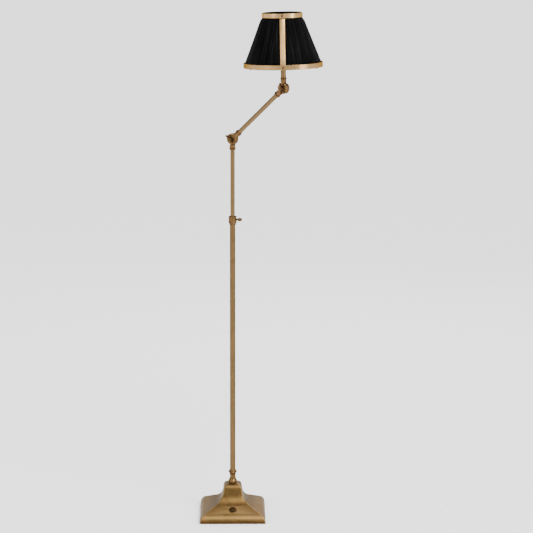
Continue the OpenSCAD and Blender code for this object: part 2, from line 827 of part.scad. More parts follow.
module shade_bottom_ring() {
    color(brass) shade_frame() difference() {
        union() {
            translate([0, 0, shade_foot]) band(shade_bottom_d / 2, bottom_ring_h);
            for (turn = carrier_angles)
                intersection() {
                    rotate([0, 0, turn]) translate([ring_in - lug_l, -lug_w / 2, carrier_z - lug_t - seat])
                        cube([lug_l + band_t, lug_w, lug_t]);
                    cylinder(r = ring_in + band_t / 2, h = carrier_z + 10, $fn = 128);
                }
        }
        for (turn = carrier_angles)
            rotate([0, 0, turn]) translate([lug_screw_at, 0, shade_foot - 1])
                cylinder(d = lug_screw_d + 2 * seat, h = carrier_z);
        for (turn = strap_angles)
            at_rivet(turn, ring_in - 5, shade_foot + bottom_ring_h / 2) cylinder(d = rivet_d + 2 * seat, h = 10);
    }
}

module shade_top_ring() {
    color(brass) shade_frame() difference() {
        translate([0, 0, top_ring_foot]) band(shade_top_d / 2, top_ring_h);
        for (turn = strap_angles)
            at_rivet(turn, top_ring_in - 5, top_rivet_z) cylinder(d = rivet_d + 2 * seat, h = 10);
    }
}

// A strap lies on the cone of the straps' outside, so its section is turned and cut to its width
module strap_section() {
    bend = band_t * 1.1;
    polygon([
        [strap_out_top, shade_top - rim_h - 1],
        [strap_out_top, top_ring_foot - 0.4],
        [strap_out_spring, spring_z],
        [strap_out_foot, bottom_ring_top + 0.6],
        [strap_out_foot, carrier_z + carrier_t + 1],
        [strap_out_foot - band_t, carrier_z + carrier_t + 1],
        [strap_out_foot - band_t, bottom_ring_top + 0.8],
        [strap_out_spring - bend, spring_z],
        [strap_out_top - band_t, top_ring_foot + 0.2],
        [strap_out_top - band_t, shade_top - rim_h - 1]]);
}

module shade_straps() {
    color(brass) shade_frame() for (turn = strap_angles)
        rotate([0, 0, turn]) difference() {
            intersection() {
                rotate_extrude($fn = 128) strap_section();
                translate([0, -strap_w / 2, 0]) cube([shade_bottom_d, strap_w, shade_top + 10]);
            }
            at_rivet(0, ring_in - 5, shade_foot + bottom_ring_h / 2) cylinder(d = rivet_d + 2 * seat, h = 10);
            at_rivet(0, top_ring_in - 5, top_rivet_z) cylinder(d = rivet_d + 2 * seat, h = 10);
        }
}

module rivet() {
    translate([0, 0, -band_t - strap_seat - 0.1]) cylinder(d = rivet_d, h = 2 * band_t + strap_seat + 0.3);
    translate([0, 0, band_t + seat]) rotate_extrude() polygon([
        [0, 0],
        [rivet_head_d / 2, 0],
        [rivet_head_d / 2 - 0.5, 0.8],
        [rivet_head_d / 4, 1.3],
        [0, 1.4]]);
}

module strap_rivets() {
    color(dark_brass) shade_frame() for (turn = strap_angles) {
        at_rivet(turn, ring_in, shade_foot + bottom_ring_h / 2) rivet();
        at_rivet(turn, top_ring_in, top_rivet_z) rivet();
    }
}

hoop_r = 1.4;
module shade_hoops() {
    layers = cover_t + lining_t + hoop_r + 2 * seat + 0.2;
    color(steel) shade_frame() {
        translate([0, 0, cover_hem_z + 2.4])
            rotate_extrude($fn = 96) translate([cover_foot_r - layers + 0.4, 0]) circle(hoop_r, $fn = 24);
        translate([0, 0, top_rivet_z])
            rotate_extrude($fn = 96) translate([cover_top_r - layers, 0]) circle(hoop_r, $fn = 24);
    }
}

module shade_cover() {
    color(black) shade_frame() rotate_extrude($fn = 128) polygon(layer(0, cover_t));
}

module shade_lining() {
    color([0.12, 0.11, 0.11]) shade_frame() rotate_extrude($fn = 128) polygon(layer(cover_t + seat, lining_t));
}

base_felt();
base_plate();
base_plate_screws();
base_weight();
base_shell();
base_spacer();
base_nipple();
base_nut();
base_washer();
cord_grommet();
foot_switch_body();
foot_switch_bezel();
foot_switch_button();
foot_finial();
column_tube();
column_plug();
column_bush();
column_collar();
thumb_screw();
follower_bush();
mast_tube();
mast_circlips();
mast_ferrule();
elbow_bolt();
elbow_friction_ring();
elbow_washer();
elbow_wing_nut();
arm_lower_ferrule();
arm_tube();
arm_upper_ferrule();
head_ferrule();
head_bolt();
head_friction_ring();
head_washer();
head_wing_nut();
stem_tube();
stem_sleeve();
shade_carrier();
carrier_screws();
holder_cup();
holder_shell();
holder_insulator();
holder_thread();
holder_contact();
bulb_cap();
bulb_glass();
shade_bottom_ring();
shade_top_ring();
shade_straps();
strap_rivets();
shade_hoops();
shade_cover();
shade_lining();
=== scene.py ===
"""Pharmacy floor lamp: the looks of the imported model."""
import math
import random

import bmesh
import bpy
from mathutils import Matrix, Vector, noise


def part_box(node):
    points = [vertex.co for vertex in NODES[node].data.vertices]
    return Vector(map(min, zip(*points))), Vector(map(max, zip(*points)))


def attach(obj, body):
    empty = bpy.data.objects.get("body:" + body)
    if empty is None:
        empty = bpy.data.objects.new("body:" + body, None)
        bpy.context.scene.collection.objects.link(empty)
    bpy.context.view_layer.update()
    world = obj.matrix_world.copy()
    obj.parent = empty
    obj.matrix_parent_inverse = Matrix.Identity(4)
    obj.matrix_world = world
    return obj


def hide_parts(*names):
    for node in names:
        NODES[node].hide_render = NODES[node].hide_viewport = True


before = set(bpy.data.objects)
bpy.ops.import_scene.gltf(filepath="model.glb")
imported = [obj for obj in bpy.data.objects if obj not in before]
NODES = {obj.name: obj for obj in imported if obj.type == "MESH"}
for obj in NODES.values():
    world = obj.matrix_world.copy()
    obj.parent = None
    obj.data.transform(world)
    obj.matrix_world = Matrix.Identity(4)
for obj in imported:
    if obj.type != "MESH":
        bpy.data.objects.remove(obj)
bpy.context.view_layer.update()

MM = 0.001

# ---------------------------------------------------------------- camera

CAMERA_AT = (0.0, -5.028, 1.825)
CAMERA_PITCH = math.radians(11.967)
CAMERA_YAW = math.radians(1.13)
CAMERA_ROLL = math.radians(0.20)
CAMERA_LENS = 118.68
CAMERA_SENSOR = 36.0


def make_camera():
    s, c = math.sin(CAMERA_YAW), math.cos(CAMERA_YAW)
    sp, cp = math.sin(CAMERA_PITCH), math.cos(CAMERA_PITCH)
    forward = Vector((s * cp, c * cp, -sp))
    right = Vector((c, -s, 0.0))
    up = Vector((s * sp, c * sp, cp))
    sr, cr = math.sin(CAMERA_ROLL), math.cos(CAMERA_ROLL)
    x_axis = right * cr + up * sr
    y_axis = up * cr - right * sr
    data = bpy.data.cameras.new("camera")
    data.lens = CAMERA_LENS
    data.sensor_width = CAMERA_SENSOR
    data.clip_end = 200.0
    camera = bpy.data.objects.new("camera", data)
    turn = Matrix((x_axis, y_axis, -forward)).transposed()
    camera.matrix_world = Matrix.Translation(CAMERA_AT) @ turn.to_4x4()
    bpy.context.scene.collection.objects.link(camera)
    bpy.context.scene.camera = camera


make_camera()

# ---------------------------------------------------------------- materials


class Mat:
    """A node material with a Principled shader."""

    def __init__(self, name, **constants):
        self.mat = bpy.data.materials.new(name)
        self.mat.use_nodes = True
        self.tree = self.mat.node_tree
        self.tree.nodes.clear()
        out = self.tree.nodes.new("ShaderNodeOutputMaterial")
        self.shader = self.add("ShaderNodeBsdfPrincipled", **constants)
        self.join(self.shader.outputs[0], out.inputs["Surface"])

    def edge_tint(self, colour):
        self.shader.inputs["Specular Tint"].default_value = (*colour, 1.0)

    def join(self, a, b):
        self.tree.links.new(a, b)

    def add(self, kind, props=None, **inputs):
        made = self.tree.nodes.new(kind)
        for key, value in (props or {}).items():
            setattr(made, key, value)
        for key, value in inputs.items():
            self.put(made.inputs[key.replace("_", " ")], value)
        return made

    def put(self, socket, value):
        if isinstance(value, bpy.types.NodeSocket):
            self.join(value, socket)
        else:
            socket.default_value = value

    def place(self, scale=(1, 1, 1), turn=(0, 0, 0)):
        coords = self.add("ShaderNodeTexCoord")
        mapping = self.add("ShaderNodeMapping")
        mapping.inputs["Scale"].default_value = scale
        mapping.inputs["Rotation"].default_value = turn
        self.join(coords.outputs["Object"], mapping.inputs["Vector"])
        return mapping.outputs[0]

    def noise(self, vector, scale, detail=4.0, rough=0.55, twist=0.0):
        made = self.add("ShaderNodeTexNoise", Vector=vector, Scale=scale, Detail=detail,
                        Roughness=rough, Distortion=twist)
        return made.outputs["Fac"]

    def ramp(self, value, stops, smooth=False):
        made = self.add("ShaderNodeValToRGB")
        elements = made.color_ramp.elements
        if smooth:
            made.color_ramp.interpolation = "EASE"
        while len(elements) < len(stops):
            elements.new(0.5)
        for element, (at, colour) in zip(elements, stops):
            element.position = at
            element.color = (*colour, 1.0) if len(colour) == 3 else colour
        self.join(value, made.inputs[0])
        return made.outputs["Color"]

    def span(self, value, a, b, c, d):
        made = self.add("ShaderNodeMapRange")
        for key, number in (("From Min", a), ("From Max", b), ("To Min", c), ("To Max", d)):
            made.inputs[key].default_value = number
        self.join(value, made.inputs["Value"])
        return made.outputs[0]

    def math(self, how, a, b):
        made = self.add("ShaderNodeMath", {"operation": how})
        self.put(made.inputs[0], a)
        self.put(made.inputs[1], b)
        return made.outputs[0]

    def mix(self, how, factor, a, b):
        made = self.add("ShaderNodeMix", {"data_type": "RGBA", "blend_type": how})
        self.put(made.inputs["Factor"], factor)
        self.put(made.inputs[6], a)
        self.put(made.inputs[7], b)
        return made.outputs[2]

    def bump(self, height, depth, strength=1.0, under=None):
        made = self.add("ShaderNodeBump", Height=height, Distance=depth, Strength=strength)
        if under is not None:
            self.join(under, made.inputs["Normal"])
        return made.outputs[0]

    def surface(self, colour=None, rough=None, normal=None):
        for key, value in (("Base Color", colour), ("Roughness", rough), ("Normal", normal)):
            if value is not None:
                self.put(self.shader.inputs[key], value)
        return self.mat


BRASS_TONES = {
    "dark": (0.050, 0.022, 0.007),
    "brown": (0.100, 0.053, 0.019),
    "gold": (0.150, 0.087, 0.035),
    "pink": (0.148, 0.080, 0.040),
    "olive": (0.118, 0.074, 0.030),
    "worn": (0.400, 0.262, 0.120),
}


def scaled(colour, by):
    each = by if isinstance(by, tuple) else (by, by, by)
    return tuple(part * share for part, share in zip(colour, each))


def brass(name, tone=1.0, along=(0, 0, 0), patina=1.0, rough=(0.24, 0.40), extra_colour=None,
          edge=(0.12, 0.075, 0.04), hollow_patina_and_shade=0.85, wear=0.65):
    """Antique brass: lacquered patina in soft clouds, fine brushing along one axis, worn edges.

    tone scales every colour, patina the stains, the hollows' weight their darkening, partly dark patina and
    partly painted shade, and wear the bright worn edges;
    rough is the range of roughness, edge the tint at grazing angles, and the added function paints more into
    the colour, such as a dark ring or the base's painted light and shade.
    """
    m = Mat(name, Metallic=1.0)
    m.edge_tint(edge)
    plain = m.place()
    clouds = m.noise(plain, 17.0, 5.0, 0.62, 0.7)
    specks = m.noise(plain, 210.0, 3.0, 0.6)
    brushed = m.noise(m.place((1500.0, 1500.0, 26.0), along), 1.0, 3.0, 0.65)
    t = {key: scaled(colour, tone) for key, colour in BRASS_TONES.items()}
    ground = m.ramp(clouds, [(0.30, t["brown"]), (0.43, t["olive"]), (0.52, t["gold"]), (0.64, t["pink"])],
                    smooth=True)
    stain = m.span(m.noise(plain, 46.0, 6.0, 0.7, 1.1), 0.48, 0.72, 0.0, 0.55 * patina)
    colour = m.mix("MIX", stain, ground, (*t["dark"], 1.0))
    colour = m.mix("MIX", m.span(specks, 0.56, 0.74, 0.0, 0.35 * patina), colour, (*t["brown"], 1.0))
    if extra_colour is not None:
        colour = extra_colour(m, colour, t)
    point = m.add("ShaderNodeNewGeometry").outputs["Pointiness"]
    # Hollows darkened: partly dark patina, partly painted shade.
    colour = m.mix("MIX", m.span(point, 0.40, 0.492, hollow_patina_and_shade, 0.0), colour, (*t["dark"], 1.0))
    colour = m.mix("MIX", m.span(point, 0.515, 0.60, 0.0, wear), colour, (*t["worn"], 1.0))
    shine = m.span(m.math("ADD", m.math("MULTIPLY", brushed, 0.5), m.math("MULTIPLY", clouds, 0.5)),
                   0.35, 0.68, rough[0], rough[1])
    dents = m.bump(m.noise(plain, 60.0, 2.0, 0.5), 0.00035, 0.35)
    normal = m.bump(brushed, 0.00003, 0.45, dents)
    return m.surface(colour, shine, normal)


def dark_band(pivot, axis, near, far, strength=0.8):
    """Old lacquer left in one ring: a dark stretch between two distances from a pivot, along an axis."""
    blur = 0.4 * MM

    def extra_colour(m, colour, t):
        start = m.add("ShaderNodeVectorMath", {"operation": "SUBTRACT"})
        m.put(start.inputs[0], m.place())
        start.inputs[1].default_value = pivot
        reach = m.add("ShaderNodeVectorMath", {"operation": "DOT_PRODUCT"})
        m.put(reach.inputs[0], start.outputs[0])
        reach.inputs[1].default_value = axis
        along = reach.outputs["Value"]
        rise = m.span(along, near - blur, near + blur, 0.0, 1.0)
        fall = m.span(along, far - blur, far + blur, 1.0, 0.0)
        band = m.math("MULTIPLY", m.math("MULTIPLY", rise, fall), strength)
        return m.mix("MIX", band, colour, (*t["dark"], 1.0))
    return extra_colour


def base_wear_and_painted_light(m, colour, t):
    """The base is painted darker at its foot as shade near the floor, painted lighter low on the skirt as a
    band of light, and worn bright along its four ridges, partly as a painted highlight.
    """
    at = m.add("ShaderNodeSeparateXYZ", Vector=m.place()).outputs
    # Painted light: a lighter band low on the skirt.
    painted_light_band = m.math("MULTIPLY", m.span(at["Z"], 9.0 * MM, 20.0 * MM, 0.0, 1.0),
                   m.span(at["Z"], 28.0 * MM, 40.0 * MM, 1.0, 0.0))
    colour = m.mix("MIX", m.math("MULTIPLY", painted_light_band, 0.22), colour, (*t["worn"], 1.0))
    # Ridges lighter: partly worn brass, partly a painted highlight.
    off = m.math("SUBTRACT", m.math("ABSOLUTE", at["X"], 0.0), m.math("ABSOLUTE", at["Y"], 0.0))
    ridge_wear_and_highlight = m.span(m.math("ABSOLUTE", off, 0.0), 0.8 * MM, 3.4 * MM, 0.75, 0.0)
    rubbed = m.span(m.noise(m.place(), 70.0, 4.0, 0.6), 0.34, 0.60, 0.25, 1.0)
    colour = m.mix("MIX", m.math("MULTIPLY", ridge_wear_and_highlight, rubbed), colour, (*t["worn"], 1.0))
    # Painted shade: darker towards the foot, near the floor.
    foot = m.span(at["Z"], 3.0 * MM, 11.5 * MM, 0.85, 0.0)
    return m.mix("MIX", foot, colour, (*t["dark"], 1.0))


def plain_metal(name, colour, rough, scale=90.0, spread=0.25):
    m = Mat(name, Metallic=1.0)
    grain = m.noise(m.place(), scale, 5.0, 0.6)
    dark = scaled(colour, 1.0 - spread)
    tint = m.ramp(grain, [(0.35, dark), (0.62, colour)])
    normal = m.bump(m.noise(m.place(), 900.0, 3.0), 0.00003, 0.5)
    return m.surface(tint, m.span(grain, 0.3, 0.7, rough * 0.8, rough * 1.25), normal)


def moulded(name, colour, rough, **constants):
    """Plastic, rubber or glazed clay, with a faint mottle and a fine moulded skin."""
    m = Mat(name, **constants)
    mottle = m.noise(m.place(), 70.0, 4.0)
    tint = m.ramp(mottle, [(0.3, scaled(colour, 0.82)), (0.7, colour)])
    normal = m.bump(m.noise(m.place(), 1300.0, 3.0), 0.00004, 0.5)
    return m.surface(tint, m.span(mottle, 0.3, 0.7, rough * 0.85, rough * 1.15), normal)


def cloth(name, low, high, thread, rough, sheen, tint):
    """Woven cloth: threads along and across the piece's own flat coordinates, and long streaks.

    low and high are the colours in the streaks' hollows and on their crests, painted shade and painted sheen
    mixed with uneven yarn; thread is the weave's scale.
    """
    m = Mat(name, **{"Sheen Weight": sheen, "Sheen Roughness": 0.42, "Specular IOR Level": 0.018})
    m.shader.inputs["Sheen Tint"].default_value = (*tint, 1.0)
    flat = m.add("ShaderNodeUVMap", {"uv_map": "flat"}).outputs[0]
    warp = m.add("ShaderNodeTexWave", {"bands_direction": "X"}, Vector=flat, Scale=thread)
    weft = m.add("ShaderNodeTexWave", {"bands_direction": "Y"}, Vector=flat, Scale=thread)
    slub = m.add("ShaderNodeMapping", Vector=flat)
    slub.inputs["Scale"].default_value = (420.0, 16.0, 1.0)
    fold = m.add("ShaderNodeMapping", Vector=flat)
    fold.inputs["Scale"].default_value = (150.0, 7.0, 1.0)
    # Painted sheen: fold crests lighter and hollows darker, in long streaks.
    lit = m.span(m.noise(fold.outputs[0], 1.0, 3.0, 0.55, 0.3), 0.36, 0.66, 0.0, 1.0)
    uneven = m.noise(slub.outputs[0], 1.0, 4.0, 0.6)
    slub_and_painted_sheen = m.math("ADD", m.math("MULTIPLY", lit, 0.7), m.math("MULTIPLY", uneven, 0.3))
    fuzz = m.noise(m.place(), 1400.0, 2.0)
    weave = m.math("MULTIPLY", m.math("ADD", warp.outputs["Fac"], weft.outputs["Fac"]), 0.5)
    shade = m.math("ADD", m.math("MULTIPLY", slub_and_painted_sheen, 0.75), m.math("MULTIPLY", weave, 0.25))
    colour = m.ramp(shade, [(0.18, low), (0.52, scaled(high, 0.22)), (0.84, high)])
    soft = m.span(slub_and_painted_sheen, 0.3, 0.7, rough * 0.85, min(1.0, rough * 1.2))
    normal = m.bump(weave, 0.00012, 0.6, m.bump(fuzz, 0.00006, 0.5))
    return m.surface(colour, soft, normal)


def felt_cloth():
    m = Mat("base_felt_wool", **{"Sheen Weight": 0.35, "Sheen Roughness": 0.5})
    fibres = m.noise(m.place(), 800.0, 6.0, 0.75, 2.0)
    cloudy = m.noise(m.place(), 60.0, 4.0)
    tint = m.ramp(m.math("ADD", m.math("MULTIPLY", fibres, 0.7), m.math("MULTIPLY", cloudy, 0.3)),
                  [(0.32, (0.012, 0.020, 0.014)), (0.68, (0.036, 0.058, 0.042))])
    return m.surface(tint, m.span(fibres, 0.3, 0.7, 0.86, 0.98), m.bump(fibres, 0.0003, 0.7))


def pearl_glass():
    m = Mat("bulb_glass_pearl", **{"Transmission Weight": 0.85, "IOR": 1.45})
    mist = m.noise(m.place(), 40.0, 4.0)
    return m.surface(m.ramp(mist, [(0.3, (0.86, 0.86, 0.84)), (0.7, (0.95, 0.95, 0.93))]),
                     m.span(mist, 0.3, 0.7, 0.22, 0.36), m.bump(m.noise(m.place(), 600.0, 2.0), 0.00002, 0.4))


# Frames of the moving bodies at rest, in the CAD's own sizes: lengths in mm, turns in radians
ARM_TURN = math.radians(47.0)
ARM_LEN = 227.5
ELBOW_Z = 1135.0
HEAD_LEAN = math.radians(1.7)
YAW = math.radians(30.0)
ELBOW = Matrix.Translation((0, 0, ELBOW_Z * MM)) @ Matrix.Rotation(-YAW, 4, "Z")
ARM_FRAME = ELBOW @ Matrix.Rotation(ARM_TURN, 4, "Y")
ARM_TOP = ARM_FRAME @ Matrix.Translation((0, 0, ARM_LEN * MM))
HEAD = ARM_TOP @ Matrix.Rotation(-ARM_TURN - HEAD_LEAN, 4, "Y")

# Each joint ferrule keeps a dark ring between these two distances from its pivot
RING_FROM, RING_TO = 25.4 * MM, 29.6 * MM


def ring_of(place, way):
    axis = (place.to_3x3() @ Vector((0, 0, way))).normalized()
    return dark_band(tuple(place.translation), tuple(axis), RING_FROM, RING_TO)


FERRULES = {
    "mast_ferrule": (ELBOW, -1), "arm_lower_ferrule": (ARM_FRAME, 1),
    "arm_upper_ferrule": (ARM_TOP, -1), "head_ferrule": (HEAD, 1),
}
BAND_EDGE = (0.50, 0.38, 0.26)
ACROSS = (0.0, math.pi / 2, 0.0)
TUBE = brass("antique_brass_tube", tone=0.74)
MAST = brass("antique_brass_mast", tone=0.52, edge=(0.16, 0.13, 0.09))
STEM = brass("antique_brass_stem", tone=0.92)
ARM = brass("antique_brass_arm", tone=0.52, along=(0.0, -ARM_TURN, math.radians(30.0)))
CAST = brass("antique_brass_cast", tone=0.92, patina=1.25, rough=(0.26, 0.44))
BASE = brass("antique_brass_base", tone=(0.84, 0.82, 0.66), rough=(0.42, 0.58), extra_colour=base_wear_and_painted_light,
             edge=(0.95, 0.92, 0.88))
TOP_BAND = brass("antique_brass_top_band", tone=2.9, patina=0.6, rough=(0.20, 0.34), along=ACROSS,
                 edge=BAND_EDGE, hollow_patina_and_shade=0.25)
BOTTOM_BAND = brass("antique_brass_bottom_band", tone=2.1, patina=0.7, rough=(0.20, 0.34), along=ACROSS,
                    edge=BAND_EDGE, hollow_patina_and_shade=0.25)
STRAP = brass("antique_brass_strap", tone=2.9, patina=0.4, rough=(0.26, 0.40), edge=(0.7, 0.6, 0.5),
              hollow_patina_and_shade=0.0, wear=0.3)
KNOB = brass("dark_brass_knob", tone=0.60, patina=1.2, rough=(0.42, 0.58), wear=0.25)
SPOT = brass("dark_brass_button", tone=0.28, patina=1.0, rough=(0.50, 0.64), wear=0.1)
DARK = brass("dark_brass_patina", tone=0.45, patina=1.3, rough=(0.36, 0.52), wear=0.3)
ZINC = plain_metal("zinc_plated_steel", (0.60, 0.61, 0.63), 0.30)
CAST_IRON = plain_metal("cast_iron_raw", (0.115, 0.112, 0.110), 0.62, 160.0, 0.45)
NYLON = moulded("nylon_natural", (0.80, 0.78, 0.70), 0.45)
GLAZE = moulded("porcelain_glaze", (0.86, 0.85, 0.80), 0.16)
PLASTIC = moulded("black_plastic", (0.030, 0.030, 0.032), 0.40)
RUBBER = moulded("black_rubber", (0.022, 0.022, 0.023), 0.66)
GLASS = pearl_glass()
FELT = felt_cloth()
SILK = cloth("black_pleated_silk", (0.0001, 0.0001, 0.0001), (0.0055, 0.0053, 0.0057), 520.0, 0.42, 0.0,
             (0.60, 0.60, 0.66))
LINING = cloth("black_lining_cloth", (0.0010, 0.0010, 0.0010), (0.0034, 0.0033, 0.0033), 620.0, 0.72, 0.01,
               (0.5, 0.5, 0.5))

LOOKS = {
    TUBE: ["column_tube"],
    MAST: ["mast_tube"],
    STEM: ["stem_tube", "stem_sleeve"],
    ARM: ["arm_tube"],
    CAST: ["foot_finial", "column_collar", "elbow_washer", "head_washer", "base_spacer", "column_plug",
           "shade_carrier", "holder_cup", "holder_shell", "foot_switch_bezel"],
    KNOB: ["elbow_wing_nut", "head_wing_nut", "elbow_bolt", "head_bolt"],
    SPOT: ["foot_switch_button"],
    BASE: ["base_shell"],
    TOP_BAND: ["shade_top_ring"],
    BOTTOM_BAND: ["shade_bottom_ring"],
    STRAP: ["shade_straps"],
    DARK: ["thumb_screw", "strap_rivets", "carrier_screws"],
    ZINC: ["base_plate", "base_plate_screws", "base_nipple", "base_nut", "base_washer", "mast_circlips",
           "holder_thread", "holder_contact", "bulb_cap", "shade_hoops"],
    CAST_IRON: ["base_weight"],
    NYLON: ["column_bush", "follower_bush", "elbow_friction_ring", "head_friction_ring"],
    GLAZE: ["holder_insulator"],
    PLASTIC: ["foot_switch_body"],
    RUBBER: ["cord_grommet"],
    GLASS: ["bulb_glass"],
    FELT: ["base_felt"],
    SILK: ["shade_cover"],
    LINING: ["shade_lining"],
}


def coat(obj, mat):
    if not obj.material_slots:
        obj.data.materials.append(mat)
    for place in obj.material_slots:
        place.material = mat


for ferrule, (place, way) in FERRULES.items():
    LOOKS[brass("antique_brass_" + ferrule, tone=1.06, patina=1.25, rough=(0.26, 0.44),
                extra_colour=ring_of(place, way))] = [ferrule]

for look, names in LOOKS.items():
    for part in names:
        coat(NODES[part], look)

# ---------------------------------------------------------------- softened edges on the metal parts

# Width of the softened edge on each piece, in mm
SOFT_EDGE = {
    "shade_top_ring": 0.28, "shade_bottom_ring": 0.28, "shade_straps": 0.25, "mast_ferrule": 0.22,
    "arm_lower_ferrule": 0.22, "arm_upper_ferrule": 0.22, "head_ferrule": 0.22, "elbow_wing_nut": 0.55,
    "head_wing_nut": 0.55, "column_collar": 0.18, "foot_finial": 0.15, "stem_sleeve": 0.4,
    "column_tube": 0.3, "elbow_washer": 0.25, "head_washer": 0.25, "foot_switch_bezel": 0.2,
    "shade_carrier": 0.3, "holder_cup": 0.5, "holder_shell": 0.3, "carrier_screws": 0.3,
    "strap_rivets": 0.2, "base_plate": 0.3, "bulb_cap": 0.2, "holder_insulator": 0.4, "elbow_bolt": 0.3,
    "head_bolt": 0.3,
}
EDGE_ANGLE = math.radians(28.0)
SAME_POINT = 1e-6


def even_normals(obj, weight):
    """Shades flat faces flat and lets the narrow ones between them carry the turn."""
    normals = obj.modifiers.new("even_normals", "WEIGHTED_NORMAL")
    normals.keep_sharp = False
    normals.weight = weight


def soften(obj, width):
    """Rounds a CAD piece's sharp edges with modifiers only; its mesh stays as packed."""
    weld = obj.modifiers.new("weld", "WELD")
    weld.merge_threshold = SAME_POINT
    bevel = obj.modifiers.new("soft_edges", "BEVEL")
    bevel.width = width * MM
    bevel.segments = 2
    bevel.limit_method = "ANGLE"
    bevel.angle_limit = EDGE_ANGLE
    bevel.use_clamp_overlap = True
    bevel.miter_outer = "MITER_ARC"
    even_normals(obj, 60)


for part, width in SOFT_EDGE.items():
    soften(NODES[part], width)

# ---------------------------------------------------------------- mesh helpers


def new_piece(name, points, faces, mat, smooth=True):
    mesh = bpy.data.meshes.new(name)
    mesh.from_pydata([tuple(p) for p in points], [], faces)
    mesh.materials.append(mat)
    for face in mesh.polygons:
        face.use_smooth = smooth
    mesh.validate()
    mesh.update()
    obj = bpy.data.objects.new(name, mesh)
    bpy.context.scene.collection.objects.link(obj)
    return obj


def outward(obj):
    work = bmesh.new()
    work.from_mesh(obj.data)
    bmesh.ops.recalc_face_normals(work, faces=work.faces)
    work.to_mesh(obj.data)
    work.free()


def baked(obj):
    """Writes what the modifiers make into the piece's own mesh."""
    graph = bpy.context.evaluated_depsgraph_get()
    made = bpy.data.meshes.new_from_object(obj.evaluated_get(graph), depsgraph=graph)
    obj.modifiers.clear()
    obj.data = made


def thicken(obj, thickness):
    """Gives a sheet its thickness, half to each side."""
    thick = obj.modifiers.new("thickness", "SOLIDIFY")
    thick.thickness = thickness * MM
    thick.offset = 0.0


def bored(obj, cutters):
    """Cuts the cutters out of a piece and removes them."""
    for cutter in cutters:
        cut = obj.modifiers.new("bore", "BOOLEAN")
        cut.operation = "DIFFERENCE"
        cut.solver = "EXACT"
        cut.object = cutter
    baked(obj)
    for cutter in cutters:
        bpy.data.objects.remove(cutter, do_unlink=True)


def rod(name, radius, length, matrix, count=48):
    """A cutter: a closed rod along its own Z, from -length/2 to length/2."""
    ring = [(radius * math.cos(2 * math.pi * i / count), radius * math.sin(2 * math.pi * i / count))
            for i in range(count)]
    points = [matrix @ Vector((x, y, z)) for z in (-length / 2, length / 2) for x, y in ring]
    faces = [(i, (i + 1) % count, count + (i + 1) % count, count + i) for i in range(count)]
    faces += [tuple(range(count - 1, -1, -1)), tuple(range(count, 2 * count))]
    return new_piece(name, points, faces, CAST, False)


# ---------------------------------------------------------------- base shell

# The base in mm, as in the CAD: straight edge, round shoulder, skirt, cove, tapered neck and round crown
BASE_HALF = 97.5
FLANGE_H = 3.3
SHOULDER_R = 24.0
NECK_HALF = 29.0
COVE_R = 38.0
BASE_H = 97.0
NECK_H = 26.0
CROWN_R = 13.5
TAPER = math.radians(8.0)
SKIRT_SLOPE = math.radians(26.875)
SHELL_WALL = 1.6
SHELL_FOOT = 1.0
SHELL_LIP = 0.6
RIDGE_R = 3.6
NIPPLE_HOLE_R = 5.05
SWITCH_BORE_R = 9.65
SWITCH_BORE_LONG = 24.0
INLET_BORE_R = 3.55
INLET_BORE_LONG = 10.0


def arc(centre, r, a0, a1, n):
    turns = [a0 + (a1 - a0) * i / n for i in range(n + 1)]
    return [(centre[0] + r * math.cos(a), centre[1] + r * math.sin(a)) for a in turns]


def base_profile(inset):
    """(half width, height) from the foot up to the crown's flat top, in mm."""
    shoulder = (BASE_HALF - SHOULDER_R, FLANGE_H)
    cove = (NECK_HALF + COVE_R * math.cos(TAPER), BASE_H - NECK_H + COVE_R * math.sin(TAPER))
    dx, dz = cove[0] - shoulder[0], cove[1] - shoulder[1]
    skirt = math.atan2(dz, dx) + math.asin((SHOULDER_R + COVE_R) / math.hypot(dx, dz))
    run = (NECK_H - CROWN_R + CROWN_R * math.sin(TAPER)) / math.cos(TAPER)
    crown = (NECK_HALF - run * math.sin(TAPER) - CROWN_R * math.cos(TAPER), BASE_H - CROWN_R)
    half_pi = math.pi / 2
    line = [(BASE_HALF - inset, SHELL_FOOT), (BASE_HALF - inset, SHELL_FOOT + SHELL_LIP)]
    line += arc(shoulder, SHOULDER_R - inset, 0.0, skirt - half_pi, 20)
    line += arc(cove, COVE_R + inset, skirt + half_pi, math.pi + TAPER, 26)
    line += arc(crown, CROWN_R - inset, TAPER, half_pi, 14)
    return line


def rounded_square(half, radius, z, steps=6):
    """A level ring of points: a square of this half width with round corners."""
    points = []
    for corner in range(4):
        a = corner * math.pi / 2
        cx, cy = half - radius, half - radius
        for i in range(steps + 1):
            b = math.pi / 2 * i / steps
            x, y = cx + radius * math.cos(b), cy + radius * math.sin(b)
            points.append((x * math.cos(a) - y * math.sin(a), x * math.sin(a) + y * math.cos(a), z))
    return points


def loft(rings):
    """Points in metres and faces between rings that have the same number of points."""
    points = [Vector(p) * MM for ring in rings for p in ring]
    count = len(rings[0])
    faces = []
    for r in range(len(rings) - 1):
        for i in range(count):
            j = (i + 1) % count
            faces.append((r * count + i, r * count + j, (r + 1) * count + j, (r + 1) * count + i))
    return points, faces


def round_ring(like, radius, z):
    """A level circle with its points at the same headings as another ring's."""
    made = []
    for x, y, _ in like:
        far = math.hypot(x, y)
        made.append((x / far * radius, y / far * radius, z))
    return made


